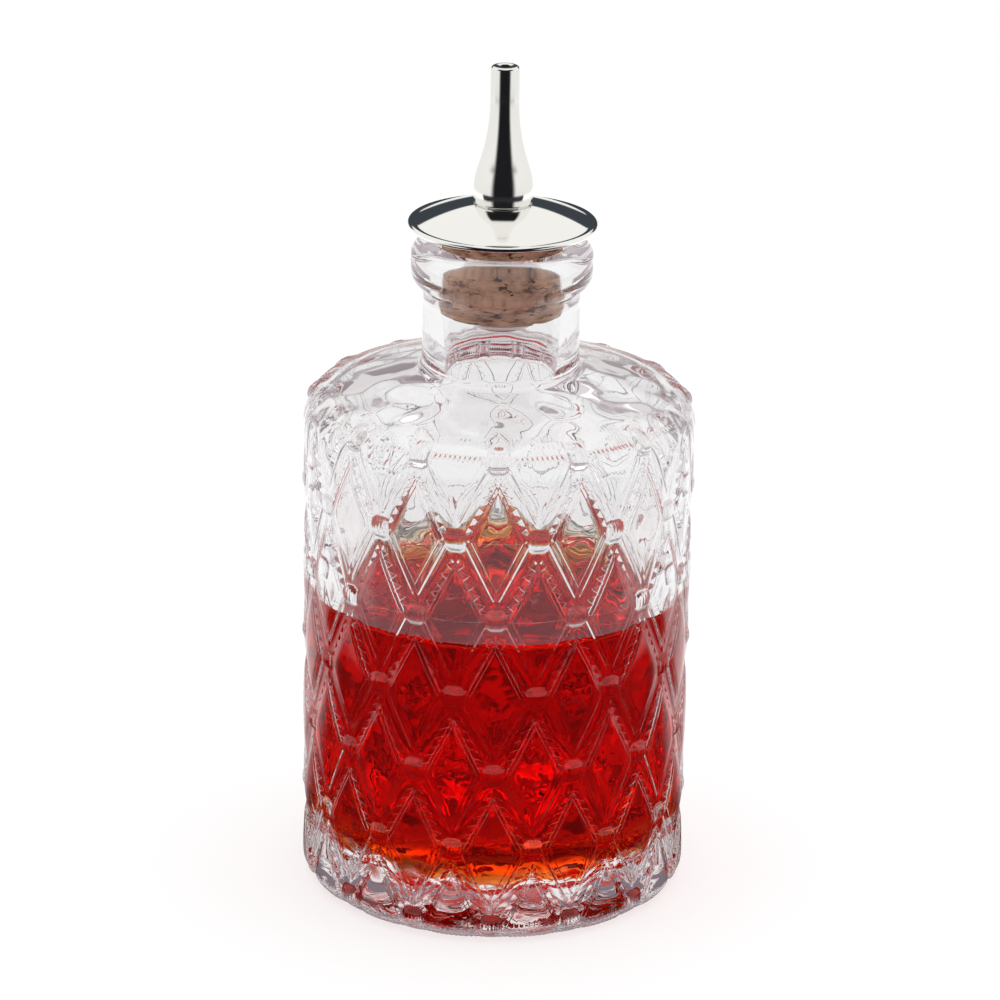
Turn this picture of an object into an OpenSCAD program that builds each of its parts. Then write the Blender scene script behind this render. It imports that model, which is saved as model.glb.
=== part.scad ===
/* [Glass body] */
// Outside diameter over the faces of the diamonds
body_d = 60; // [56:0.5:66]
// Height of the top row of beads, on the edge of the shoulder
shoulder_h = 77.5; // [74:0.5:92]
// Thickness of the glass in the side
body_wall = 3.8; // [3:0.1:5]
// Thickness of the glass under the liquid
base_t = 4.2; // [3.6:0.2:7.6]
// Rounding of the foot
heel_r = 2.4; // [1.6:0.1:3]
// Rounding inside, between the floor and the side
floor_r = 12; // [3:0.5:14]
// Diameter of the hollow under the base
punt_d = 42; // [30:1:46]
// Depth of the hollow under the base
punt_h = 0.8; // [0.4:0.1:1.5]

/* [Pressed pattern] */
// Diamonds in one turn of the body
columns = 15; // [12:1:18]
// Rows of beads above the lowest one
bead_rows = 6; // [4:2:8]
// Height of the lowest row of beads above the foot
pattern_z = 2.6; // [2.4:0.1:4]
// Width of the band between two diamonds
band_w = 2.8; // [2:0.1:3.4]
// Width of a bead where two bands cross
bead_w = 1.8; // [1.4:0.1:2]
// Depth of the band below the middle of a diamond
band_depth = 0.7; // [0.3:0.05:0.8]
// Depth of the edge of a diamond below its middle
edge_depth = 0.2; // [0.05:0.05:0.25]
// Depth of the tips of a diamond below its middle
tip_depth = 0.46; // [0.3:0.02:0.6]
// Depth of the top of a bead below the diamonds
bead_depth = 0.04; // [0:0.02:0.2]
// How far the top beads stand proud of the shoulder
crown_rise = 0.3; // [0.1:0.05:0.5]
// How much of the round of the shoulder the top beads reach over
crown_reach = 0.85; // [0.5:0.05:0.95]

/* [Shoulder and neck] */
// Rounding between the side and the shoulder
shoulder_r = 5; // [4:0.5:7]
// Slope of the shoulder in degrees
shoulder_slope = 15; // [8:1:20]
// Outside diameter of the neck
neck_d = 23.9; // [22:0.1:26]
// Rounding between the shoulder and the neck
neck_root_r = 1.6; // [1:0.1:2.5]
// Length of the neck from the shoulder to the top of the lip
neck_h = 19.4; // [17:0.1:26]
// Thickness of the glass in the shoulder
shoulder_wall = 3.5; // [3:0.1:4.5]

/* [Lip and bore] */
// Outside diameter of the lip
lip_d = 27.5; // [26:0.1:30]
// Height of the lip
lip_h = 7; // [6:0.1:9]
// Rounding of the top edge of the lip
lip_top_r = 2; // [1:0.1:2.4]
// Rounding of the lower edge of the lip
lip_low_r = 2.6; // [1.5:0.1:3]
// Diameter of the bore at the top of the lip
mouth_d = 18.6; // [17:0.1:19.6]
// Rounding of the edge of the mouth
mouth_r = 1.3; // [0.8:0.1:1.6]
// Diameter of the bore at the bottom of the neck
throat_d = 17.2; // [16:0.1:18]
// Rounding where the bore opens into the body
throat_r = 2.4; // [1.5:0.1:3]

/* [Bitters] */
// Height of the liquid above the foot
level_h = 46.6; // [22:0.2:66]
// Film between the liquid and the glass
film_gap = 0.05; // [0.02:0.01:0.1]

/* [Cork] */
// Gap between the cork and the bore all round
cork_gap = 0.15; // [0.1:0.01:0.25]
// Length of cork inside the bottle
cork_in = 10.8; // [8:0.2:13]
// Length of cork that stands proud of the lip
cork_out = 2.3; // [1:0.1:4]
// Chamfer round the lower edge
cork_chamfer = 0.8; // [0.3:0.1:1.2]

/* [Cap disc] */
// Diameter over the rim
disc_d = 28.6; // [26:0.1:31]
// Thickness of the rim
rim_t = 0.9; // [0.6:0.1:1.4]
// Width of the flat step inside the rim
rim_w = 0.7; // [0.4:0.1:1.2]
// Height of the dome above the rim
dome_h = 2.8; // [2:0.1:4]

/* [Spout] */
// Diameter at the seam on the cap disc
spout_base_d = 8.7; // [8:0.1:10]
// Diameter where the bulb ends and the taper begins
spout_waist_d = 7.5; // [7:0.1:8]
// Diameter of the straight tip
tip_d = 4.26; // [3.8:0.02:5]
// Height of the bulb
bulb_h = 5.9; // [5:0.1:8]
// Height of the taper
taper_h = 10.1; // [8:0.1:13]
// Length of the straight tip
tip_h = 5; // [3:0.1:8]
// Diameter of the hole that lets out the dashes
orifice_d = 1.8; // [1:0.1:2.4]
// Length of that narrow hole
orifice_h = 2.5; // [1.5:0.1:4]
// Rounding of the end of the spout
tip_r = 0.45; // [0.2:0.05:0.6]

/* [Stem and retainer] */
// Outside diameter of the tube through the cork
stem_d = 4.4; // [4:0.1:5]
// Bore of the tube and of the spout above it
stem_bore = 3; // [2.4:0.1:3.2]
// Length of the tube inside the spout
socket_h = 4.2; // [3:0.1:5]
// Diameter of the retainer under the cork
retainer_d = 9.6; // [8:0.1:12]
// Thickness of the retainer
retainer_t = 1.9; // [1:0.1:3]
// Gap round the tube where a piece is pushed on it
push_gap = 0.04; // [0.02:0.01:0.08]

/* [Hidden] */
$fn = 96;
arc_steps = 6;

body_r = body_d / 2;
inner_r = body_r - body_wall;
row_step = (shoulder_h - pattern_z) / bead_rows;

// The shoulder rounds off the side, slopes up to the neck and turns into it.
shoulder_cz = shoulder_h - shoulder_r * sin(45) + 0.35;
shoulder_end = [body_r - shoulder_r + shoulder_r * sin(shoulder_slope),
                shoulder_cz + shoulder_r * cos(shoulder_slope)];
neck_r = neck_d / 2;
neck_base_z = shoulder_end[1] + (shoulder_end[0] - neck_r) * tan(shoulder_slope);
bottle_h = neck_base_z + neck_h;

// The inside follows the shoulder at the thickness of its glass.
inner_shoulder_r = max(shoulder_r - 1, 1);
inner_end_r = inner_r - inner_shoulder_r + inner_shoulder_r * sin(shoulder_slope);
function inner_slope_z(r) =
    shoulder_end[1] - shoulder_wall + (shoulder_end[0] - r) * tan(shoulder_slope);
inner_cz = inner_slope_z(inner_end_r) - inner_shoulder_r * cos(shoulder_slope);

// The bore is a plain taper from the mouth to the throat.
throat_z = inner_slope_z(throat_d / 2 + throat_r * (1 - sin(shoulder_slope)))
    + throat_r * cos(shoulder_slope);
function bore_r(z) = (throat_d + (mouth_d - throat_d) * (z - throat_z) / (bottle_h - throat_z)) / 2;

cork_low = bottle_h - cork_in;
cork_top = bottle_h + cork_out;
seam_z = cork_top + rim_t + dome_h;
tip_z = seam_z + bulb_h + taper_h + tip_h;
stem_low = cork_low - retainer_t;

// Points of an arc in a profile, from one angle to another.
function arc(centre, r, from, to, steps = arc_steps) =
    [for (i = [0 : steps]) let (a = from + (to - from) * i / steps)
        centre + r * [cos(a), sin(a)]];

// Points of a cubic curve between its first and last control point.
function curve(a, b, c, d, steps = 10) =
    [for (i = [0 : steps]) let (t = i / steps, s = 1 - t)
        s * s * s * a + 3 * s * s * t * b + 3 * s * t * t * c + t * t * t * d];

// The pattern is a net of two families of slanting bands with a bead where they cross. Six
// steps cross one diamond, from the middle of a band to its side, its edge and the middle
// of the pillowed face.
steps = 6;
half_w = PI * body_r / columns;
cell_h = 2 * half_w * row_step / norm([half_w, row_step]);
bead_at = bead_w / 4 / half_w;
edge_at = band_w / 2 / cell_h;
step_at = [0, bead_at, edge_at, 0.5, 1 - edge_at, 1 - bead_at];

function wrapped(i) = ((i % steps) + steps) % steps;
function net_place(i) = floor(i / steps) + step_at[wrapped(i)];
function from_band(i) = min(wrapped(i), steps - wrapped(i));

// Depth below the diamonds at step p of one family and q of the other. A bead is round: it
// keeps its height to the sides and falls away above and below, where the steps are longer.
function pattern_depth(p, q) =
    let (a = from_band(p), b = from_band(q), n = min(a, b),
         aside = wrapped(p) != wrapped(q))
    (a == 0 && b == 0) ? bead_depth
    : max(a, b) == 1 ? bead_depth + (aside ? 0.16 : 0.68) * band_depth
    : n == 0 ? band_depth
    : n == 1 ? 0.86 * band_depth
    : (a == 2 && b == 2) ? tip_depth
    : n == 2 ? edge_depth
    : 0;

// Distance of the outside from the axis and its lean inwards, at a height on the body.
function lean(z) = z > shoulder_cz ? asin((z - shoulder_cz) / shoulder_r) : 0;
function side_r(z) = body_r - shoulder_r + shoulder_r * cos(lean(z));

function body_point(row, k) =
    let (t = row % 2 + 2 * k,
         p = (row + t) / 2,
         q = (row - t) / 2,
         z = pattern_z + row_step * (net_place(p) + net_place(q)),
         turn = 360 / columns * (net_place(p) - net_place(q)) / 2 - 90,
         deep = pattern_depth(p, q),
         r = side_r(z) - deep * cos(lean(z)))
    [r * cos(turn), r * sin(turn), z - deep * sin(lean(z))];

// A ring with the same points around as a row of the pattern.
function ring(r, z, row) =
    [for (k = [0 : around - 1])
        let (p = body_point(row, k), s = r / norm([p[0], p[1]])) [p[0] * s, p[1] * s, z]];

around = columns * steps;
rows = bead_rows * steps;
top_lean = lean(shoulder_h);

heel_rings = [for (p = arc([body_r - band_depth / 2 - heel_r, heel_r], heel_r, -90, 0, 4))
    [p[0], p[1]]];
// The top beads reach up the round of the shoulder over three rings.
crown_share = [1, 0.7, 0];
crown_turn = crown_reach * (90 - shoulder_slope - top_lean);
crown_rings = [for (i = [0 : 2])
    crown_ring(top_lean + crown_turn * (i + 1) / 3, crown_rise * crown_share[i])];
function crown_ring(lean, rise) =
    [for (k = [0 : around - 1])
        let (share = from_band(k) == 0 ? 1 : from_band(k) == 1 ? 0.7 : 0,
             out = shoulder_r + rise * share,
             turn = 360 / columns * net_place(k) - 90,
             r = body_r - shoulder_r + out * cos(lean))
        [r * cos(turn), r * sin(turn), shoulder_cz + out * sin(lean)]];
buried_r = neck_r - 1;
root_rings = concat(
    arc([neck_r + neck_root_r, neck_base_z + neck_root_r / cos(shoulder_slope)
         - neck_root_r * tan(shoulder_slope)],
        neck_root_r, 270 - shoulder_slope, 190, 3),
    [[buried_r, neck_base_z + neck_root_r]]);

// Glass body up to the root of the neck, with its outside pattern.
module pressed_body() {
    low = [for (p = concat([[punt_d / 2, 0]], heel_rings)) ring(p[0], p[1], 0)];
    high = [for (p = concat([shoulder_end], root_rings)) ring(p[0], p[1], 0)];
    net = [for (row = [0 : rows]) [for (k = [0 : around - 1]) body_point(row, k)]];
    rings = concat(low, net, crown_rings, high);
    points = concat([[0, 0, punt_h]], [for (r = rings) each r]);
    first = len(low);
    strips = [for (j = [0 : len(rings) - 2], k = [0 : around - 1])
        let (n = (k + 1) % around,
             row = j - first,
             odd = row >= 0 && row < rows && row % 2 == 1,
             a = 1 + j * around,
             b = a + around)
        each odd ? [[a + k, b + n, a + n], [a + k, b + k, b + n]]
                 : [[a + k, b + k, a + n], [a + n, b + k, b + n]]];
    floor_fan = [for (k = [0 : around - 1]) [0, 1 + k, 1 + (k + 1) % around]];
    last = 1 + (len(rings) - 1) * around;
    top_face = [[for (k = [0 : around - 1]) last + around - 1 - k]];
    polyhedron(points = points, faces = concat(floor_fan, strips, top_face));
}

module neck_and_lip() {
    lip_rr = lip_d / 2;
    lip_z = bottle_h - lip_h;
    rotate_extrude() polygon(concat(
        [[0, neck_base_z - 1], [neck_r, neck_base_z - 1], [neck_r, lip_z]],
        arc([lip_rr - lip_low_r, lip_z + lip_low_r], lip_low_r, -78, 0),
        arc([lip_rr - lip_top_r, bottle_h - lip_top_r], lip_top_r, 0, 90),
        [[0, bottle_h]]));
}

// Outline of the inside of the body, up to where the bore begins.
function inside_of_body(inset) = concat(
    [[0, base_t + inset]],
    arc([inner_r - floor_r, base_t + floor_r], floor_r - inset, -90, 0, 8));

module hollow() {
    throat_rr = throat_d / 2;
    mouth_rr = bore_r(bottle_h - mouth_r);
    rotate_extrude() polygon(concat(
        inside_of_body(0),
        arc([inner_r - inner_shoulder_r, inner_cz], inner_shoulder_r, 0, 90 - shoulder_slope),
        arc([throat_rr + throat_r, throat_z], throat_r, 270 - shoulder_slope, 180),
        [[mouth_rr, bottle_h - mouth_r]],
        arc([mouth_rr + mouth_r, bottle_h - mouth_r], mouth_r, 165, 90),
        [[mouth_rr + mouth_r, bottle_h + 1], [0, bottle_h + 1]]));
}

module bottle() color("lightsteelblue", 0.35) difference() {
    union() {
        pressed_body();
        neck_and_lip();
    }
    hollow();
}

module bitters() color("darkred", 0.9) rotate_extrude()
    polygon(concat(
        inside_of_body(film_gap),
        [[inner_r - film_gap, level_h], [0, level_h]]));

module cork() color("tan") {
    low_r = bore_r(cork_low) - cork_gap;
    high_r = bore_r(cork_top) - cork_gap;
    side = (high_r - low_r) / (cork_top - cork_low);
    hole = stem_d / 2 + push_gap;
    rotate_extrude() polygon([
        [hole, cork_low], [low_r - cork_chamfer, cork_low],
        [low_r + side * cork_chamfer, cork_low + cork_chamfer],
        [high_r, cork_top], [hole, cork_top]]);
}

module cap_disc() color("gainsboro") {
    rim_r = disc_d / 2;
    edge = rim_t / 2;
    step_r = rim_r - edge - rim_w;
    hub = spout_base_d / 2;
    hole = stem_d / 2 + push_gap;
    rotate_extrude() polygon(concat(
        [[hole, cork_top]],
        arc([rim_r - edge, cork_top + edge], edge, -90, 90),
        [[step_r, cork_top + rim_t]],
        curve([step_r, cork_top + rim_t], [step_r * 0.8, cork_top + rim_t + dome_h * 0.45],
              [step_r * 0.55, seam_z - dome_h * 0.16], [hub, seam_z]),
        [[hole, seam_z]]));
}

module spout() color("gainsboro") {
    base = spout_base_d / 2;
    waist = spout_waist_d / 2;
    tip = tip_d / 2;
    waist_z = seam_z + bulb_h;
    straight_z = waist_z + taper_h;
    lean_in = 0.33;
    rotate_extrude() polygon(concat(
        [[stem_d / 2 + push_gap, seam_z]],
        curve([base, seam_z], [base + 0.37, seam_z + bulb_h * 0.34],
              [waist + lean_in * bulb_h * 0.37, waist_z - bulb_h * 0.37], [waist, waist_z]),
        curve([waist, waist_z], [waist - lean_in * taper_h * 0.267, waist_z + taper_h * 0.267],
              [tip, straight_z - taper_h * 0.406], [tip, straight_z]),
        arc([tip - tip_r, tip_z - tip_r], tip_r, 0, 90, 4),
        [[orifice_d / 2, tip_z], [orifice_d / 2, tip_z - orifice_h],
         [stem_bore / 2, straight_z - orifice_h], [stem_bore / 2, seam_z + socket_h],
         [stem_d / 2 + push_gap, seam_z + socket_h]]));
}

module stem_tube() color("silver") translate([0, 0, stem_low]) difference() {
    cylinder(d = stem_d, h = seam_z + socket_h - stem_low);
    translate([0, 0, -1]) cylinder(d = stem_bore, h = seam_z + socket_h - stem_low + 2);
}

module retainer() color("silver") {
    hole = stem_d / 2 + push_gap;
    edge = 0.3;
    rotate_extrude() polygon([
        [hole, stem_low], [retainer_d / 2 - edge, stem_low], [retainer_d / 2, stem_low + edge],
        [retainer_d / 2, cork_low], [hole, cork_low]]);
}

bottle();
bitters();
cork();
cap_disc();
spout();
stem_tube();
retainer();
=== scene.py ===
import math

import bpy
from mathutils import Matrix, Vector, noise


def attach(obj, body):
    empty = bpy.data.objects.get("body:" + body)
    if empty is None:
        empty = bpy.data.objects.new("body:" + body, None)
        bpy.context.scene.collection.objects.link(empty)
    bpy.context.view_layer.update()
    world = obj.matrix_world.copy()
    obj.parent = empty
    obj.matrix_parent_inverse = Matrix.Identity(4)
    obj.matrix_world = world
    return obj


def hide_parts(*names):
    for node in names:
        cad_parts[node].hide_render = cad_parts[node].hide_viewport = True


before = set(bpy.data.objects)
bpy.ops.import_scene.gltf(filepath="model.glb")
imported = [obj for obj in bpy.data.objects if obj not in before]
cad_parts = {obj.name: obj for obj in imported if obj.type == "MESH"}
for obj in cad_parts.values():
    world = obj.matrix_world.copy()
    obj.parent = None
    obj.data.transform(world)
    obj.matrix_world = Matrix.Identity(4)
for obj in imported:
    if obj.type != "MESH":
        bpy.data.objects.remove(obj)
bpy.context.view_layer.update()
mm = 0.001

# Glass bottle: a thick-walled jar of clear glass, pressed in a mould with a net of slanting
# bands, small fluted beads where they cross and long diamonds between them. The net is a
# sheet of one tile copied round the body; the shoulder, neck, lip and inside are turned.
body_r = 30.0 * mm
inner_r = 26.2 * mm
columns = 15
row_pitch = 12.5 * mm
column_pitch = 2 * math.pi * body_r / columns
low_bead_s = 2.6 * mm
tile_steps = 16
bead_zone = 3
net_low, net_high = -6 / 16, 6 + 6 / 16
around = columns * tile_steps
heel_r = 2.4 * mm
shoulder_r = 5.0 * mm
shoulder_start = 74.31 * mm
shoulder_slope = math.radians(15)
top_bead_stretch = 1.9
# Depth of the net under the faces, at sixteenths of a tile from the middle of a band
band_section = ((0, -0.70), (1, -0.67), (2, -0.35), (3, -0.11), (5, -0.04), (8, 0.0), (9, 0.0))
tip_fall = 0.45 * mm
bead_half_w, bead_half_h = 1.72 * mm, 1.55 * mm
bead_flute = 0.57 * mm
neck_r = 11.95 * mm
clear_glass = (0.955, 0.957, 0.962, 1.0)
base_t, floor_r = 4.2 * mm, 12.0 * mm


def only(piece):
    """Leaves one piece selected and active."""
    bpy.ops.object.select_all(action="DESELECT")
    piece.select_set(True)
    bpy.context.view_layer.objects.active = piece


def arc(centre, r, first, last, steps):
    """Points of an outline on a round, from one angle to another."""
    turns = [math.radians(first + (last - first) * i / steps) for i in range(steps + 1)]
    return [(centre[0] + r * math.cos(t), centre[1] + r * math.sin(t)) for t in turns]


def straight(a, b, steps):
    """Points of an outline on a line, without its two ends."""
    return [(a[0] + (b[0] - a[0]) * i / steps, a[1] + (b[1] - a[1]) * i / steps)
            for i in range(1, steps)]


def turned(name, outlines, steps):
    """A closed piece turned round the axis from outlines of distance and height."""
    points, edges = [], []
    for outline in outlines:
        first = len(points)
        points += [(0, -r, z) for r, z in outline]
        edges += [(i, i + 1) for i in range(first, len(points) - 1)]
    mesh = bpy.data.meshes.new(name)
    mesh.from_pydata(points, edges, [])
    piece = bpy.data.objects.new(name, mesh)
    bpy.context.scene.collection.objects.link(piece)
    only(piece)
    bpy.ops.object.mode_set(mode="EDIT")
    bpy.ops.mesh.select_all(action="SELECT")
    bpy.ops.mesh.spin(steps=steps, angle=2 * math.pi, center=(0, 0, 0), axis=(0, 0, 1))
    bpy.ops.mesh.select_all(action="SELECT")
    bpy.ops.mesh.remove_doubles(threshold=0.002 * mm)
    bpy.ops.mesh.normals_make_consistent(inside=False)
    bpy.ops.object.mode_set(mode="OBJECT")
    bpy.ops.object.shade_smooth()
    return piece


def smooth_step(low, high, x):
    """0 below low, 1 above high and a soft ramp between."""
    t = min(max((x - low) / (high - low), 0.0), 1.0)
    return t * t * (3 - 2 * t)


def section_depth(n):
    """Depth in the band's section at n sixteenths from its middle."""
    for (n0, d0), (n1, d1) in zip(band_section, band_section[1:]):
        if n <= n1:
            return (d0 + (d1 - d0) * (n - n0) / (n1 - n0)) * mm
    return 0.0


def wall_at(s):
    """Distance, height and outward lean of the body at s along its outline from the foot."""
    if s < heel_r:
        t = (heel_r - s) / heel_r
        flat = max(t - math.pi / 2, 0) * heel_r
        t = min(t, math.pi / 2)
        centre = body_r - heel_r
        return (centre + heel_r * math.cos(t) - flat, heel_r - heel_r * math.sin(t),
                math.cos(t), -math.sin(t))
    if s < shoulder_start:
        return body_r, s, 1.0, 0.0
    t = (s - shoulder_start) / shoulder_r
    past = max(t - (math.pi / 2 - shoulder_slope), 0) * shoulder_r
    t = min(t, math.pi / 2 - shoulder_slope)
    return (body_r - shoulder_r + shoulder_r * math.cos(t) - past * math.cos(shoulder_slope),
            shoulder_start + shoulder_r * math.sin(t) + past * math.sin(shoulder_slope),
            math.cos(t), math.sin(t))


def outline_s(w):
    """How far up the outline row w of the net lies; the top beads are drawn out upwards."""
    if w > 6:
        return low_bead_s + row_pitch * (6 + (w - 6) * top_bead_stretch)
    return low_bead_s + row_pitch * w


def net_relief(u, w):
    """Height of the pressed net over the faces, at column u and row w."""
    a, b = w / 2 + u, w / 2 - u
    da, db = a - round(a), b - round(b)
    na, nb = max(abs(da) * tile_steps, 0.01), max(abs(db) * tile_steps, 0.01)
    n = (na ** -4 + nb ** -4) ** -0.25
    dx, dy = (da - db) / 2 * column_pitch, (da + db) * row_pitch
    height = section_depth(n)
    along = a - math.floor(a) + b - math.floor(b) - 1
    height -= tip_fall * along * along * smooth_step(1.0, 2.4, n)
    on_top = w > 5.7 and w - 6 < 0.5
    if on_top:
        height *= 1 - smooth_step(6.02, 6.09, w)
    height *= smooth_step(-0.30, -0.12, w)
    q = ((abs(dx) / bead_half_w) ** 2.6 + (abs(dy) / bead_half_h) ** 2.6) ** (1 / 2.6)
    if q < 1.0 and w > -0.2:
        rise = math.sqrt(1 - q * q)
        foot = -0.70 + 0.60 * smooth_step(5.98, 6.12, w)
        crown = 0.36 if on_top else 0.04
        bead = (foot + (crown - foot) * rise) * mm
        bead += 0.07 * mm * rise * math.cos(2 * math.pi * dx / bead_flute)
        height = max(height, bead)
    return height


bpy.ops.object.select_all(action="DESELECT")
bpy.ops.mesh.primitive_grid_add(x_subdivisions=tile_steps, y_subdivisions=tile_steps, size=1.0,
                                location=(0, 0, 0))
net = bpy.context.object
net.name = "glass_bottle"
net.data.transform(Matrix.Translation((0.5, 0.5, 0)))
bpy.ops.object.mode_set(mode="EDIT")
bpy.ops.mesh.select_all(action="DESELECT")
bpy.ops.object.mode_set(mode="OBJECT")
zone = (bead_zone + 0.01) / tile_steps
for face in net.data.polygons:
    a, b = face.center.x, face.center.y
    face.select = min(a, 1 - a) < zone and min(b, 1 - b) < zone
bpy.ops.object.mode_set(mode="EDIT")
bpy.ops.mesh.subdivide(number_cuts=2)
bpy.ops.object.mode_set(mode="OBJECT")
net.data.transform(Matrix(((column_pitch / 2, -column_pitch / 2, 0, 0),
                           (row_pitch, row_pitch, 0, -2 * row_pitch),
                           (0, 0, 1, 0), (0, 0, 0, 1))))
for count, step in ((columns, (column_pitch, 0, 0)), (9, (column_pitch / 2, row_pitch, 0))):
    copies = net.modifiers.new("copies", "ARRAY")
    copies.count = count
    copies.use_relative_offset = False
    copies.use_constant_offset = True
    copies.constant_offset_displace = step
    only(net)
    bpy.ops.object.modifier_apply(modifier=copies.name)
bpy.ops.object.mode_set(mode="EDIT")
bpy.ops.mesh.select_all(action="SELECT")
bpy.ops.mesh.remove_doubles(threshold=0.002 * mm)
bpy.ops.mesh.select_all(action="SELECT")
bpy.ops.mesh.bisect(plane_co=(0, net_low * row_pitch, 0), plane_no=(0, 1, 0), clear_inner=True,
                    threshold=0.002 * mm)
bpy.ops.mesh.select_all(action="SELECT")
bpy.ops.mesh.bisect(plane_co=(0, net_high * row_pitch, 0), plane_no=(0, 1, 0), clear_outer=True,
                    threshold=0.002 * mm)
bpy.ops.object.mode_set(mode="OBJECT")
net_place = net.data.uv_layers.new(name="net_place")
for corner, place in zip(net.data.loops, net_place.data):
    flat = net.data.vertices[corner.vertex_index].co
    place.uv = (flat.x / column_pitch, flat.y / row_pitch)
for v in net.data.vertices:
    u, w = v.co.x / column_pitch, v.co.y / row_pitch
    lift = net_relief(u, w)
    r, z, out, up = wall_at(outline_s(w))
    r, z = r + lift * out, z + lift * up
    turn = 2 * math.pi * u / columns - math.pi / 2
    v.co = (r * math.cos(turn), r * math.sin(turn), z)

slope_end = wall_at(outline_s(net_high))
foot_end = wall_at(outline_s(net_low))
root = (neck_r + 1.6 * mm, 84.216 * mm)
lip_low, lip_top = (11.15 * mm, 97.988 * mm), (11.75 * mm, 100.388 * mm)
mouth, throat = (10.555 * mm, 101.088 * mm), (11.0 * mm, 82.226 * mm)
inner_shoulder, inner_floor = (22.2 * mm, 72.6 * mm), (inner_r - floor_r, base_t + floor_r)
root_arc = arc(root, 1.6 * mm, 255, 180, 8)
lip_low_arc = arc(lip_low, 2.6 * mm, -72.1, 0, 10)
lip_top_arc = arc(lip_top, 2.0 * mm, 0, 90, 10)
mouth_arc = arc(mouth, 1.3 * mm, 90, 178, 10)
throat_arc = arc(throat, 2.4 * mm, 180, 255, 10)
inner_arc = arc(inner_shoulder, 4.0 * mm, 75, 0, 10)
floor_arc = arc(inner_floor, floor_r, 0, -90, 20)
floor_mid = (0.0, base_t)
wet_line = 48.1 * mm
upper = ([slope_end[:2]] + straight(slope_end, root_arc[0], 5) + root_arc
         + straight(root_arc[-1], lip_low_arc[0], 4) + lip_low_arc
         + straight(lip_low_arc[-1], lip_top_arc[0], 2) + lip_top_arc
         + straight(lip_top_arc[-1], mouth_arc[0], 2) + mouth_arc
         + straight(mouth_arc[-1], throat_arc[0], 6) + throat_arc
         + straight(throat_arc[-1], inner_arc[0], 6) + inner_arc
         + straight(inner_arc[-1], (inner_r, wet_line), 5) + [(inner_r, wet_line)]
         + straight((inner_r, wet_line), floor_arc[0], 8) + floor_arc
         + straight(floor_arc[-1], floor_mid, 5) + [floor_mid])
lower = [(0.0, 0.8 * mm), (7 * mm, 0.72 * mm), (14 * mm, 0.5 * mm), (19 * mm, 0.24 * mm),
         (20.6 * mm, 0.1 * mm), (21.4 * mm, 0.0), (24 * mm, 0.0), foot_end[:2]]
glass = turned("turned_glass", [upper, lower], around)
only(net)
glass.select_set(True)
bpy.ops.object.join()
bpy.ops.object.mode_set(mode="EDIT")
bpy.ops.mesh.select_all(action="SELECT")
bpy.ops.mesh.remove_doubles(threshold=0.004 * mm)
bpy.ops.mesh.normals_make_consistent(inside=False)
bpy.ops.object.mode_set(mode="OBJECT")
bpy.ops.object.shade_smooth()


def see_through(name, colour, roughness, ior):
    """A clear material that bends light and lets the lamps through to what is behind it.

    After three reflections light goes straight on through a mauve grey tint, a painted shade, so
    that thick edges stay clear.
    """
    material = bpy.data.materials.new(name)
    material.use_nodes = True
    nodes, links = material.node_tree.nodes, material.node_tree.links
    surface = nodes["Principled BSDF"]
    surface.inputs["Base Color"].default_value = colour
    surface.inputs["Roughness"].default_value = roughness
    surface.inputs["IOR"].default_value = ior
    surface.inputs["Transmission Weight"].default_value = 1.0
    path = nodes.new("ShaderNodeLightPath")
    often_reflected = nodes.new("ShaderNodeMath")
    often_reflected.operation = "GREATER_THAN"
    often_reflected.inputs[1].default_value = 2.5
    straight_on = nodes.new("ShaderNodeBsdfRefraction")
    straight_on.inputs["IOR"].default_value = 1.003
    # Painted shade: past three reflections the glass dims the light to a mauve grey.
    straight_on.inputs["Color"].default_value = (0.76, 0.72, 0.74, 1.0)
    unlocked = nodes.new("ShaderNodeMixShader")
    unlocked.name = "Unlocked Shader"
    links.new(path.outputs["Glossy Depth"], often_reflected.inputs[0])
    links.new(often_reflected.outputs["Value"], unlocked.inputs["Fac"])
    links.new(surface.outputs["BSDF"], unlocked.inputs[1])
    links.new(straight_on.outputs["BSDF"], unlocked.inputs[2])
    clear = nodes.new("ShaderNodeBsdfTransparent")
    mix = nodes.new("ShaderNodeMixShader")
    mix.name = "Glass Shader"
    links.new(path.outputs["Is Shadow Ray"], mix.inputs["Fac"])
    links.new(unlocked.outputs["Shader"], mix.inputs[1])
    links.new(clear.outputs["BSDF"], mix.inputs[2])
    links.new(mix.outputs["Shader"], nodes["Material Output"].inputs["Surface"])
    return material



def add_skin(material, scale, height, detail=2.0):
    """Gives a clear material an uneven skin with bumps of a given scale and height."""
    nodes, links = material.node_tree.nodes, material.node_tree.links
    place = nodes.new("ShaderNodeTexCoord")
    lumps = nodes.new("ShaderNodeTexNoise")
    lumps.inputs["Scale"].default_value = scale
    lumps.inputs["Detail"].default_value = detail
    bump = nodes.new("ShaderNodeBump")
    bump.inputs["Strength"].default_value = 1.0
    bump.inputs["Distance"].default_value = height
    links.new(place.outputs["Object"], lumps.inputs["Vector"])
    links.new(lumps.outputs["Fac"], bump.inputs["Height"])
    links.new(bump.outputs["Normal"], nodes["Principled BSDF"].inputs["Normal"])


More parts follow.
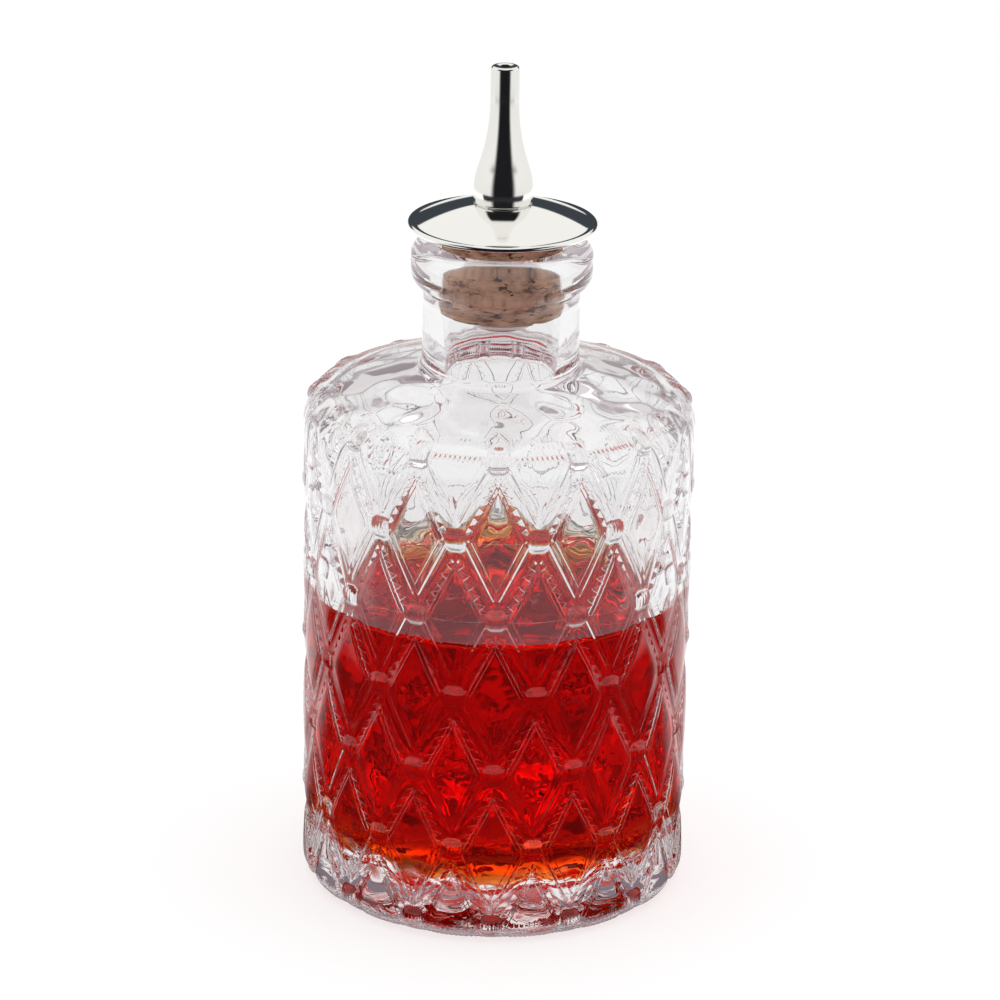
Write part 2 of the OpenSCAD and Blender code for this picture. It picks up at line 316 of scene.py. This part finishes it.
def add_teeth(material):
    """Cuts the fine teeth and crisp edges of the pressed bands, and a faint ripple."""
    nodes, links = material.node_tree.nodes, material.node_tree.links

    def step(kind, a, b=None, c=None):
        node = nodes.new("ShaderNodeMath")
        node.operation = kind
        for socket, value in zip(node.inputs, (a, b, c)):
            if isinstance(value, (int, float)):
                socket.default_value = value
            elif value is not None:
                links.new(value, socket)
        return node.outputs["Value"]

    def eased(value, low, high):
        node = nodes.new("ShaderNodeMapRange")
        node.interpolation_type = "SMOOTHSTEP"
        node.inputs["From Min"].default_value = low
        node.inputs["From Max"].default_value = high
        links.new(value, node.inputs["Value"])
        return node.outputs["Result"]

    net_map = nodes.new("ShaderNodeUVMap")
    net_map.uv_map = "net_place"
    split = nodes.new("ShaderNodeSeparateXYZ")
    links.new(net_map.outputs["UV"], split.inputs["Vector"])
    u, w = split.outputs["X"], split.outputs["Y"]
    half_w = step("MULTIPLY", w, 0.5)
    a, b = step("ADD", half_w, u), step("SUBTRACT", half_w, u)
    n_a = step("MULTIPLY", step("PINGPONG", a, 0.5), 16.0)
    n_b = step("MULTIPLY", step("PINGPONG", b, 0.5), 16.0)
    n = step("MINIMUM", n_a, n_b)
    off_bead = eased(step("MAXIMUM", n_a, n_b), 2.3, 2.9)
    on_side = step("MULTIPLY", eased(w, -0.1, 0.0), step("SUBTRACT", 1.0, eased(w, 6.0, 6.05)))
    where = step("MULTIPLY", off_bead, on_side)
    by_a = step("LESS_THAN", n_a, n_b)
    under_a = step("MULTIPLY", step("GREATER_THAN", step("FRACT", a), 0.5), by_a)
    under_b = step("MULTIPLY", step("GREATER_THAN", step("FRACT", b), 0.5),
                   step("SUBTRACT", 1.0, by_a))
    under_band = step("ADD", under_a, under_b)
    wave = step("MULTIPLY", step("PINGPONG", step("MULTIPLY", w, 8.0), 0.5), 2.0)
    reach = step("MULTIPLY_ADD", n, 0.53, wave)
    tooth = eased(reach, 1.32, 1.42)
    tip_start = step("MAXIMUM", step("SUBTRACT", n, 1.0), 0.0)
    gap_depth = step("MULTIPLY", step("MINIMUM", tip_start, 1.2),
                     step("SUBTRACT", 1.0, eased(n, 2.2, 2.4)))
    tip_depth = step("MAXIMUM", step("SUBTRACT", 1.0, n), 0.0)
    gap = step("MULTIPLY", step("SUBTRACT", 1.0, tooth), gap_depth)
    cut = step("MULTIPLY", step("ADD", gap, step("MULTIPLY", tooth, tip_depth)), -0.34)
    cut = step("ADD", cut, step("MULTIPLY", eased(n, 2.0, 2.25), 0.10))
    cut = step("MULTIPLY", step("MULTIPLY_ADD", eased(n, 2.85, 3.1), 0.06, cut), under_band)
    bevel = step("MULTIPLY", step("MINIMUM", step("MAXIMUM", step("SUBTRACT", n, 1.8), 0.0), 1.4),
                 0.17)
    wall = step("MULTIPLY_ADD", eased(n, 1.15, 1.75), 0.37, bevel)
    meshed = step("MULTIPLY", step("MINIMUM", tip_start, 1.0), 0.32)
    meshed_high = step("MINIMUM", step("MAXIMUM", step("SUBTRACT", n, 2.0), 0.0), 1.0)
    meshed = step("MULTIPLY_ADD", meshed_high, 0.24, meshed)
    plain_side = step("MULTIPLY", step("SUBTRACT", wall, meshed),
                      step("SUBTRACT", 1.0, under_band))
    cut = step("MULTIPLY", where, step("ADD", cut, plain_side))
    place = nodes.new("ShaderNodeTexCoord")
    ripple = nodes.new("ShaderNodeTexNoise")
    ripple.inputs["Scale"].default_value = 95.0
    ripple.inputs["Detail"].default_value = 2.0
    links.new(place.outputs["Object"], ripple.inputs["Vector"])
    skin = step("MULTIPLY_ADD", ripple.outputs["Fac"], 0.22, cut)
    bump = nodes.new("ShaderNodeBump")
    bump.inputs["Strength"].default_value = 1.0
    bump.inputs["Distance"].default_value = mm
    links.new(skin, bump.inputs["Height"])
    links.new(bump.outputs["Normal"], nodes["Principled BSDF"].inputs["Normal"])


def add_stipple(material):
    """Lays ground spots over a clear material, which let light through in all directions."""
    nodes, links = material.node_tree.nodes, material.node_tree.links
    place = nodes.new("ShaderNodeTexCoord")
    spots = nodes.new("ShaderNodeTexNoise")
    spots.inputs["Scale"].default_value = 380.0
    spots.inputs["Detail"].default_value = 3.0
    share = nodes.new("ShaderNodeMapRange")
    share.interpolation_type = "SMOOTHSTEP"
    share.inputs["From Min"].default_value = 0.45
    share.inputs["From Max"].default_value = 0.50
    ground = nodes.new("ShaderNodeBsdfTranslucent")
    ground.inputs["Color"].default_value = (0.95, 0.95, 0.95, 1.0)
    mix = nodes.new("ShaderNodeMixShader")
    links.new(place.outputs["Object"], spots.inputs["Vector"])
    links.new(spots.outputs["Fac"], share.inputs["Value"])
    links.new(share.outputs["Result"], mix.inputs["Fac"])
    links.new(nodes["Glass Shader"].outputs["Shader"], mix.inputs[1])
    links.new(ground.outputs["BSDF"], mix.inputs[2])
    links.new(mix.outputs["Shader"], nodes["Material Output"].inputs["Surface"])


glass_ior, liquid_ior = 1.5, 1.35
net.data.materials.clear()
net.data.materials.append(see_through("pressed_glass", clear_glass, 0.0, glass_ior))
net.data.materials.append(see_through("wetted_glass", clear_glass, 0.0,
                                      glass_ior / liquid_ior))
net.data.materials.append(see_through("stippled_base", clear_glass, 0.0, glass_ior))
net.data.materials.append(see_through("uneven_shoulder", clear_glass, 0.0, glass_ior))
add_stipple(net.data.materials[2])
add_teeth(net.data.materials[0])
add_skin(net.data.materials[1], 240.0, 0.5 * mm)
add_skin(net.data.materials[2], 200.0, 0.5 * mm)
add_skin(net.data.materials[3], 100.0, 1.7 * mm, 0.5)
for face in net.data.polygons:
    place = face.center
    from_axis = math.hypot(place.x, place.y)
    if base_t - 0.5 * mm < place.z < wet_line and from_axis < inner_r + 0.01 * mm:
        face.material_index = 1
    elif place.z < 0.9 * mm and from_axis < 14.2 * mm:
        face.material_index = 2
    elif 70 * mm < place.z < 86 * mm and face.normal.z < -0.2:
        face.material_index = 3
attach(net, "bottle")
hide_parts("bottle")

# Bitters: a clear red liquid that fills a little over half of the bottle and climbs a little
# where it meets the wall. Its skin against the glass bends no light, because the wetted face
# of the glass does that; its top does, as any water does.
film = 0.04 * mm
liquid_r = inner_r - film
level = 46.6 * mm
climb = ((0.0, 1.5), (0.25, 0.95), (0.7, 0.52), (1.3, 0.27), (2.1, 0.11), (3.2, 0.03), (5.0, 0.0))
liquid_absorption, liquid_density = (0.974, 0.545, 0.0, 1.0), 370.0
liquid_floor = arc(inner_floor, floor_r - film, -90, 0, 20)
liquid_outline = ([(0.0, base_t + film), (10 * mm, base_t + film)] + liquid_floor
                  + straight(liquid_floor[-1], (liquid_r, level), 8)
                  + [(liquid_r - x * mm, level + z * mm) for x, z in climb]
                  + [(15 * mm, level), (8 * mm, level), (0.0, level)])
bitters = turned("bitters_liquid", [liquid_outline], around)
top_faces = bitters.data.attributes.new("open_top", "FLOAT", "FACE")
for face in bitters.data.polygons:
    upward = face.normal.z > 0.02 and face.center.z > level - film
    top_faces.data[face.index].value = 1.0 if upward else 0.0
liquid_material = see_through("red_bitters", (1.0, 1.0, 1.0, 1.0), 0.0, liquid_ior)
nodes, links = liquid_material.node_tree.nodes, liquid_material.node_tree.links
open_top = nodes.new("ShaderNodeAttribute")
open_top.attribute_name = "open_top"
skin = nodes.new("ShaderNodeBsdfTransparent")
skin_or_top = nodes.new("ShaderNodeMixShader")
links.new(open_top.outputs["Fac"], skin_or_top.inputs["Fac"])
links.new(skin.outputs["BSDF"], skin_or_top.inputs[1])
links.new(nodes["Glass Shader"].outputs["Shader"], skin_or_top.inputs[2])
links.new(skin_or_top.outputs["Shader"], nodes["Material Output"].inputs["Surface"])
soak = nodes.new("ShaderNodeVolumeAbsorption")
soak.inputs["Color"].default_value = liquid_absorption
soak.inputs["Density"].default_value = liquid_density
links.new(soak.outputs["Volume"], nodes["Material Output"].inputs["Volume"])
bitters.data.materials.append(liquid_material)
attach(bitters, "bottle")
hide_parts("bitters")

# Cork: a tapered stopper cut from natural cork and bored for the tube. Its side has pores,
# short dark streaks and small chips round the lower edge.
cork_low, cork_top = 91.588 * mm, 104.688 * mm
cork_low_r, cork_top_r = 8.775 * mm, 9.23 * mm
cork_bore_r = 2.24 * mm
cork_chamfer = 0.8 * mm
cork_outline = ([(cork_bore_r, cork_low)]
                + straight((cork_bore_r, cork_low), (cork_low_r - cork_chamfer, cork_low), 8)
                + [(cork_low_r - cork_chamfer, cork_low),
                   (cork_low_r - cork_chamfer / 2, cork_low + cork_chamfer * 0.4),
                   (cork_low_r, cork_low + cork_chamfer)]
                + straight((cork_low_r, cork_low + cork_chamfer), (cork_top_r, cork_top), 34)
                + [(cork_top_r, cork_top)]
                + straight((cork_top_r, cork_top), (cork_bore_r, cork_top), 4)
                + [(cork_bore_r, cork_top), (cork_bore_r, (cork_low + cork_top) / 2),
                   (cork_bore_r, cork_low)])
cork = turned("cork_stopper", [cork_outline], 180)
for v in cork.data.vertices:
    out = Vector((v.co.x, v.co.y, 0))
    if out.length < 4 * mm or v.co.z > cork_top - 0.01 * mm:
        continue
    place = v.co / mm
    grain = noise.noise(place * 0.9) * 0.5 + noise.noise(place * 2.3)
    pit = smooth_step(0.36, 0.6, noise.noise(Vector((place.x, place.y, place.z * 2.4)) * 0.9))
    edge = smooth_step(1.6, 0.0, (v.co.z - cork_low) / mm) if v.co.z < cork_low + 1.6 * mm else 0
    chip = edge * smooth_step(0.25, 0.6, noise.noise(place * 0.5 + Vector((7, 3, 1))))
    inward = (0.04 * max(grain, 0) + 0.35 * pit + 0.5 * chip) * mm
    v.co -= out.normalized() * inward
cork_material = bpy.data.materials.new("natural_cork")
cork_material.use_nodes = True
nodes, links = cork_material.node_tree.nodes, cork_material.node_tree.links
cork_surface = nodes["Principled BSDF"]
cork_surface.inputs["Roughness"].default_value = 0.8
where = nodes.new("ShaderNodeTexCoord")
stretch = nodes.new("ShaderNodeMapping")
stretch.inputs["Scale"].default_value = (1.0, 1.0, 2.6)
mottle = nodes.new("ShaderNodeTexNoise")
mottle.inputs["Scale"].default_value = 330.0
mottle.inputs["Detail"].default_value = 9.0
mottle.inputs["Roughness"].default_value = 0.68
tones = nodes.new("ShaderNodeValToRGB")
tones.color_ramp.elements[0].position = 0.38
tones.color_ramp.elements[0].color = (0.10, 0.034, 0.018, 1)
tones.color_ramp.elements[1].position = 0.60
tones.color_ramp.elements[1].color = (0.64, 0.375, 0.25, 1)
middle_tone = tones.color_ramp.elements.new(0.46)
middle_tone.color = (0.43, 0.215, 0.130, 1)
pores = nodes.new("ShaderNodeTexNoise")
pores.inputs["Scale"].default_value = 620.0
pores.inputs["Detail"].default_value = 2.0
pore_share = nodes.new("ShaderNodeMapRange")
pore_share.inputs["From Min"].default_value = 0.63
pore_share.inputs["From Max"].default_value = 0.68
pore_mix = nodes.new("ShaderNodeMix")
pore_mix.data_type = "RGBA"
pore_mix.inputs["B"].default_value = (0.045, 0.014, 0.008, 1)
links.new(where.outputs["Object"], stretch.inputs["Vector"])
links.new(stretch.outputs["Vector"], mottle.inputs["Vector"])
links.new(stretch.outputs["Vector"], pores.inputs["Vector"])
links.new(mottle.outputs["Fac"], tones.inputs["Fac"])
links.new(pores.outputs["Fac"], pore_share.inputs["Value"])
links.new(pore_share.outputs["Result"], pore_mix.inputs["Factor"])
links.new(tones.outputs["Color"], pore_mix.inputs["A"])
links.new(pore_mix.outputs["Result"], cork_surface.inputs["Base Color"])
cork.data.materials.append(cork_material)
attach(cork, "stopper")
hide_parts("cork")

# Tube and retainer: a thin steel tube runs from the spout through the cork, and a steel
# washer pushed on its lower end holds the cork. They keep the shapes of the model.
steel_material = bpy.data.materials.new("drawn_steel")
steel_material.use_nodes = True
steel_surface = steel_material.node_tree.nodes["Principled BSDF"]
steel_surface.inputs["Base Color"].default_value = (0.62, 0.61, 0.59, 1)
steel_surface.inputs["Metallic"].default_value = 1.0
steel_surface.inputs["Roughness"].default_value = 0.28
for name in ("stem_tube", "retainer"):
    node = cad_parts[name]
    node.data.materials.clear()
    node.data.materials.append(steel_material)

# Cap disc: a shallow dome of turned brass, plated and polished, with a thin rolled rim.
# It lies on the cork and carries the spout.
disc_r = 14.3 * mm
rim_half = 0.45 * mm
rim_step = 0.7 * mm
dome_h = 2.8 * mm
spout_base_r = 4.35 * mm
seam_z = 108.388 * mm
metal_bore_r = 2.24 * mm
seam_round = 0.1 * mm


def curve(a, b, c, d, steps):
    """Points of a cubic curve between its first and last point."""
    points = []
    for i in range(steps + 1):
        t = i / steps
        s = 1 - t
        points.append(tuple(s ** 3 * a[k] + 3 * s * s * t * b[k] + 3 * s * t * t * c[k]
                            + t ** 3 * d[k] for k in range(2)))
    return points


rim_z = cork_top + 2 * rim_half
step_r = disc_r - rim_half - rim_step
disc_outline = ([(metal_bore_r, cork_top)]
                + straight((metal_bore_r, cork_top), (disc_r - rim_half, cork_top), 6)
                + arc((disc_r - rim_half, cork_top + rim_half), rim_half, -90, 90, 12)
                + [(disc_r - rim_half - 0.5 * rim_step, rim_z - 0.03 * mm)]
                + curve((step_r, rim_z), (step_r * 0.8, rim_z + dome_h * 0.45),
                        (step_r * 0.55, seam_z - dome_h * 0.16),
                        (spout_base_r, seam_z), 40)
                + [(spout_base_r - seam_round, seam_z - seam_round), (metal_bore_r, seam_z
                   - seam_round), (metal_bore_r, cork_top)])
disc = turned("cap_disc_plated", [disc_outline], 192)
plate_material = bpy.data.materials.new("polished_plating")
plate_material.use_nodes = True
plate_surface = plate_material.node_tree.nodes["Principled BSDF"]
plate_surface.inputs["Base Color"].default_value = (0.93, 0.925, 0.90, 1)
plate_surface.inputs["Metallic"].default_value = 1.0
plate_surface.inputs["Roughness"].default_value = 0.05
disc.data.materials.append(plate_material)
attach(disc, "stopper")
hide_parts("cap_disc")

# Spout: turned from brass and plated like the disc, with a small bulb that tapers to a
# straight tip. The bitters leave by the narrow hole in its end.
waist_r, waist_z = 3.75 * mm, 114.288 * mm
tip_r, straight_z, tip_z = 2.13 * mm, 124.388 * mm, 129.388 * mm
tip_round = 0.45 * mm
orifice_r, orifice_depth = 0.9 * mm, 2.5 * mm
bulb_h, taper_h = waist_z - seam_z, straight_z - waist_z
lean = 0.33
spout_outline = ([(metal_bore_r, seam_z + seam_round),
                  (spout_base_r - seam_round, seam_z + seam_round)]
                 + curve((spout_base_r, seam_z + 2 * seam_round),
                         (spout_base_r + 0.37 * mm, seam_z + bulb_h * 0.34),
                         (waist_r + lean * bulb_h * 0.37, waist_z - bulb_h * 0.37),
                         (waist_r, waist_z), 24)
                 + curve((waist_r, waist_z),
                         (waist_r - lean * taper_h * 0.267, waist_z + taper_h * 0.267),
                         (tip_r, straight_z - taper_h * 0.406), (tip_r, straight_z), 24)[1:]
                 + arc((tip_r - tip_round, tip_z - tip_round), tip_round, 0, 90, 8)
                 + [(orifice_r + 0.12 * mm, tip_z), (orifice_r, tip_z - 0.12 * mm),
                    (orifice_r, tip_z - orifice_depth), (1.5 * mm, straight_z - orifice_depth),
                    (1.5 * mm, seam_z + 4.2 * mm), (metal_bore_r, seam_z + 4.2 * mm),
                    (metal_bore_r, seam_z + seam_round)])
spout = turned("spout_plated", [spout_outline], 192)
spout_material = bpy.data.materials.new("polished_spout")
spout_material.use_nodes = True
spout_surface = spout_material.node_tree.nodes["Principled BSDF"]
spout_surface.inputs["Base Color"].default_value = (0.91, 0.905, 0.88, 1)
spout_surface.inputs["Metallic"].default_value = 1.0
spout_surface.inputs["Roughness"].default_value = 0.11
# The wall of the narrow hole in the tip is painted near black: painted shade where little light
# gets in.
bore_painted_shade_material = bpy.data.materials.new("bore_painted_shade")
bore_painted_shade_material.use_nodes = True
bore_painted_shade_surface = bore_painted_shade_material.node_tree.nodes["Principled BSDF"]
bore_painted_shade_surface.inputs["Base Color"].default_value = (0.02, 0.018, 0.016, 1)
bore_painted_shade_surface.inputs["Roughness"].default_value = 0.6
spout.data.materials.append(spout_material)
spout.data.materials.append(bore_painted_shade_material)
for face in spout.data.polygons:
    if math.hypot(face.center.x, face.center.y) < orifice_r + 0.05 * mm:
        face.material_index = 1
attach(spout, "stopper")
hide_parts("spout")

# Table: a plain white round table top under the bottle, which keeps its soft shadow.
bpy.ops.object.select_all(action="DESELECT")
bpy.ops.mesh.primitive_circle_add(vertices=96, radius=0.45, fill_type="NGON",
                                  location=(0, 0, -0.0002))
table = bpy.context.object
table.name = "table_top"
table_material = bpy.data.materials.new("white_table")
table_material.use_nodes = True
nodes, links = table_material.node_tree.nodes, table_material.node_tree.links
table_surface = nodes["Principled BSDF"]
table_surface.inputs["Base Color"].default_value = (0.86, 0.86, 0.86, 1)
table_surface.inputs["Roughness"].default_value = 0.9
table_surface.inputs["Specular IOR Level"].default_value = 0.0
table_surface.inputs["Emission Color"].default_value = (1, 1, 1, 1)
table_surface.inputs["Emission Strength"].default_value = 0.10
path = nodes.new("ShaderNodeLightPath")
place = nodes.new("ShaderNodeTexCoord")
place_axes = nodes.new("ShaderNodeSeparateXYZ")
distance = nodes.new("ShaderNodeVectorMath")
distance.operation = "LENGTH"
links.new(place.outputs["Object"], place_axes.inputs["Vector"])
links.new(place.outputs["Object"], distance.inputs[0])


def table_step(value, low, high):
    """0 to 1 over a stretch of the table top, eased at both ends."""
    node = nodes.new("ShaderNodeMapRange")
    node.interpolation_type = "SMOOTHSTEP"
    node.inputs["From Min"].default_value = low
    node.inputs["From Max"].default_value = high
    links.new(value, node.inputs["Value"])
    return node.outputs["Result"]


def table_sum(operation, *values):
    """One step of the table's sums: numbers are set and sockets are linked."""
    node = nodes.new("ShaderNodeMath")
    node.operation = operation
    for socket, value in zip(node.inputs, values):
        if isinstance(value, (int, float)):
            socket.default_value = value
        else:
            links.new(value, socket)
    return node.outputs["Value"]


def table_shade(share, shader, other):
    """A mix of two of the table's shaders."""
    node = nodes.new("ShaderNodeMixShader")
    links.new(share, node.inputs["Fac"])
    links.new(shader, node.inputs[1])
    links.new(other, node.inputs[2])
    return node.outputs["Shader"]


far_off = distance.outputs["Value"]
# Painted reflection: mirrored rays see the front of the table and the part close behind the bottle
# as a near-black sheet.
front = table_step(place_axes.outputs["Y"], -0.03, -0.06)
close_by = table_sum("MULTIPLY", table_step(far_off, 0.17, 0.13),
                     table_step(place_axes.outputs["Y"], 0.05, 0.01))
painted_reflection_mask = table_sum("MULTIPLY", table_sum("MAXIMUM", front, close_by),
                          path.outputs["Is Glossy Ray"])
# Painted light, seen only through the glass: through the liquid the table shows painted shade in
# blotches and bright painted glints round the foot; through clear glass it shows painted red light
# round the foot and painted shade at its front.
painted_shade_blotches = nodes.new("ShaderNodeTexNoise")
painted_shade_blotches.inputs["Scale"].default_value = 70.0
painted_shade_blotches.inputs["Detail"].default_value = 3.0
painted_glint_sparks = nodes.new("ShaderNodeTexNoise")
painted_glint_sparks.inputs["Scale"].default_value = 170.0
painted_glint_sparks.inputs["Detail"].default_value = 2.0
for texture in (painted_shade_blotches, painted_glint_sparks):
    links.new(place.outputs["Object"], texture.inputs["Vector"])
painted_shade_blotch = table_step(painted_shade_blotches.outputs["Fac"], 0.43, 0.55)
painted_glint = table_sum("MULTIPLY", table_step(painted_glint_sparks.outputs["Fac"], 0.53, 0.60),
                  table_step(far_off, 0.062, 0.040))
wet_light = table_sum("MULTIPLY_ADD", painted_shade_blotch, 0.52, 0.24)
wet_light = table_sum("MULTIPLY_ADD", painted_glint, 1.3, wet_light)
dry_light = table_sum("MULTIPLY_ADD", front, -0.30, 0.97)
through_liquid = table_sum("GREATER_THAN", path.outputs["Transparent Depth"], 0.5)
light_level = table_sum("ADD", table_sum("MULTIPLY", through_liquid, wet_light),
                        table_sum("MULTIPLY", table_sum("SUBTRACT", 1.0, through_liquid),
                                  dry_light))
# Painted red light round the foot, broken by white patches, as light through the liquid would fall
# on the table.
painted_red_light = nodes.new("ShaderNodeMix")
painted_red_light.data_type = "RGBA"
painted_red_light.inputs["A"].default_value = (0.50, 0.035, 0.025, 1)
painted_red_light.inputs["B"].default_value = (1, 1, 1, 1)
white_patch = table_step(painted_glint_sparks.outputs["Fac"], 0.49, 0.55)
white_patch = table_sum("MAXIMUM", white_patch, table_step(far_off, 0.038, 0.060))
links.new(table_sum("MAXIMUM", white_patch, through_liquid), painted_red_light.inputs["Factor"])
seen_white = nodes.new("ShaderNodeEmission")
seen_white.inputs["Strength"].default_value = 1.0
bent_painted_light = nodes.new("ShaderNodeEmission")
links.new(painted_red_light.outputs["Result"], bent_painted_light.inputs["Color"])
links.new(light_level, bent_painted_light.inputs["Strength"])
# Painted reflection: the near-black sheet that only mirrored rays see.
painted_reflection_dark = nodes.new("ShaderNodeBsdfDiffuse")
painted_reflection_dark.inputs["Color"].default_value = (0.02, 0.02, 0.022, 1)
table_look = table_shade(table_sum("MULTIPLY", path.outputs["Is Camera Ray"], 0.6),
                         table_surface.outputs["BSDF"], seen_white.outputs["Emission"])
table_look = table_shade(painted_reflection_mask, table_look, painted_reflection_dark.outputs["BSDF"])
table_look = table_shade(path.outputs["Is Transmission Ray"], table_look,
                         bent_painted_light.outputs["Emission"])
links.new(table_look, nodes["Material Output"].inputs["Surface"])
table.data.materials.append(table_material)

# Studio: a soft lamp overhead and one at each side, with white all round the set and the
# dark of the room behind the camera, which the metal mirrors as a dark band.
for name, place, size, watts in (("top_lamp", (0.0, 0.1, 0.75), 1.0, 2.5),
                                 ("left_lamp", (-0.65, -0.15, 0.45), 0.7, 0.9),
                                 ("right_lamp", (0.65, -0.05, 0.5), 0.7, 0.9)):
    lamp = bpy.data.lights.new(name, "AREA")
    lamp.shape = "DISK"
    lamp.size = size
    lamp.energy = watts
    holder = bpy.data.objects.new(name, lamp)
    holder.location = place
    holder.rotation_euler = (Vector((0, 0, 0.05)) - Vector(place)).to_track_quat(
        "-Z", "Y").to_euler()
    holder.visible_glossy = False
    bpy.context.scene.collection.objects.link(holder)

world = bpy.data.worlds.new("studio")
bpy.context.scene.world = world
world.use_nodes = True
nodes, links = world.node_tree.nodes, world.node_tree.links
nodes.clear()
sky = nodes.new("ShaderNodeOutputWorld")
around_set = nodes.new("ShaderNodeTexCoord")
axes = nodes.new("ShaderNodeSeparateXYZ")
links.new(around_set.outputs["Generated"], axes.inputs["Vector"])


def maths(operation, a, b=None, c=None):
    """One step of the studio's sums: numbers are set and sockets are linked."""
    node = nodes.new("ShaderNodeMath")
    node.operation = operation
    for socket, value in zip(node.inputs, (a, b, c)):
        if value is None:
            continue
        if isinstance(value, (int, float)):
            socket.default_value = value
        else:
            links.new(value, socket)
    return node.outputs["Value"]


def ramp(value, low, high):
    """0 to 1 as the value goes from low to high, eased at both ends."""
    node = nodes.new("ShaderNodeMapRange")
    node.interpolation_type = "SMOOTHSTEP"
    node.inputs["From Min"].default_value = low
    node.inputs["From Max"].default_value = high
    links.new(value, node.inputs["Value"])
    return node.outputs["Result"]


def blend(fac, a, b):
    """A mix of two colours, each a plain colour or a socket."""
    node = nodes.new("ShaderNodeMix")
    node.data_type = "RGBA"
    links.new(fac, node.inputs["Factor"])
    for socket, value in ((node.inputs["A"], a), (node.inputs["B"], b)):
        if isinstance(value, tuple):
            socket.default_value = value
        else:
            links.new(value, socket)
    return node.outputs["Result"]


x, y, z = axes.outputs
level_length = maths("SQRT", maths("ADD", maths("MULTIPLY", x, x), maths("MULTIPLY", y, y)))
toward_camera = maths("DIVIDE", maths("MULTIPLY", y, -1.0), maths("ADD", level_length, 0.0001))
away = maths("MULTIPLY", toward_camera, -1.0)
room = maths("MULTIPLY", ramp(toward_camera, 0.60, 0.84),
             maths("SUBTRACT", 1.0, ramp(z, 0.45, 0.62)))
rear = ramp(away, 0.68, 0.80)
# Painted reflection: metal mirrors a dark slate band low behind the set, where the camera sees
# white.
behind = maths("MULTIPLY", maths("MULTIPLY", rear, ramp(z, -0.05, 0.02)),
               maths("SUBTRACT", 1.0, ramp(z, 0.36, 0.39)))
bent_behind = maths("MULTIPLY", maths("MULTIPLY", rear, ramp(z, -0.05, 0.02)),
                    maths("SUBTRACT", 1.0, ramp(z, 0.50, 0.56)))
high_room = maths("MULTIPLY", maths("MULTIPLY", ramp(toward_camera, 0.15, 0.45),
                                    ramp(z, 0.22, 0.34)),
                  maths("SUBTRACT", 1.0, ramp(z, 0.80, 0.92)))
walls = blend(ramp(z, -0.5, 0.5), (0.88, 0.87, 0.85, 1), (0.95, 0.94, 0.92, 1))
rays = nodes.new("ShaderNodeLightPath")
in_metal = maths("MULTIPLY_ADD", rays.outputs["Is Singular Ray"], -0.75, 1.0)
mirrored = blend(maths("MULTIPLY", behind, in_metal), walls, (0.045, 0.055, 0.065, 1))
mirrored = blend(maths("MULTIPLY", maths("MAXIMUM", room, high_room), in_metal),
                 mirrored, (0.008, 0.008, 0.010, 1))
# Painted shade seen only through the glass: the set behind and the room before it turn darker mauve
# greys, and past the liquid all of it is darkened to a little over half.
bent = blend(bent_behind, walls, (0.32, 0.26, 0.29, 1))
bent = blend(room, bent, (0.56, 0.51, 0.54, 1))
bent = blend(maths("MULTIPLY", maths("GREATER_THAN", rays.outputs["Transparent Depth"], 0.5), 0.45),
             bent, (0.0, 0.0, 0.0, 1))
seen_colour = blend(rays.outputs["Is Glossy Ray"], (0.78, 0.78, 0.78, 1), mirrored)
seen_colour = blend(rays.outputs["Is Transmission Ray"], seen_colour, bent)
seen_colour = blend(rays.outputs["Is Camera Ray"], seen_colour, (1, 1, 1, 1))
glow = nodes.new("ShaderNodeBackground")
links.new(seen_colour, glow.inputs["Color"])
links.new(glow.outputs["Background"], sky.inputs["Surface"])

# Camera: a long lens from a little above, as in the photograph.
camera_reach, camera_height = 586.94 * mm, 283.57 * mm
aim = Vector((0, 0, 60 * mm))
focal_px = 4085.0
aim_px, roll = (498.026, 504.475), math.radians(-0.973)
camera_data = bpy.data.cameras.new("camera")
camera_data.sensor_width = 36.0
camera_data.lens = focal_px / 1000 * 36.0
camera_data.clip_start = 0.05
camera = bpy.data.objects.new("camera", camera_data)
bpy.context.scene.collection.objects.link(camera)
eye = Vector((0, -camera_reach, camera_height))
forward = (aim - eye).normalized()
right = Vector((1, 0, 0))
up = right.cross(forward)
pan = Matrix.Rotation(math.atan((aim_px[0] - 500) / focal_px), 3, up)
forward, right = pan @ forward, pan @ right
tilt = Matrix.Rotation(math.atan((aim_px[1] - 500) / focal_px), 3, right)
forward, up = tilt @ forward, tilt @ up
turn = Matrix.Rotation(roll, 3, forward)
right, up = turn @ right, turn @ up
camera.matrix_world = Matrix(((right.x, up.x, -forward.x, eye.x),
                              (right.y, up.y, -forward.y, eye.y),
                              (right.z, up.z, -forward.z, eye.z),
                              (0, 0, 0, 1)))
bpy.context.scene.camera = camera
bpy.context.scene.view_settings.view_transform = "Standard"
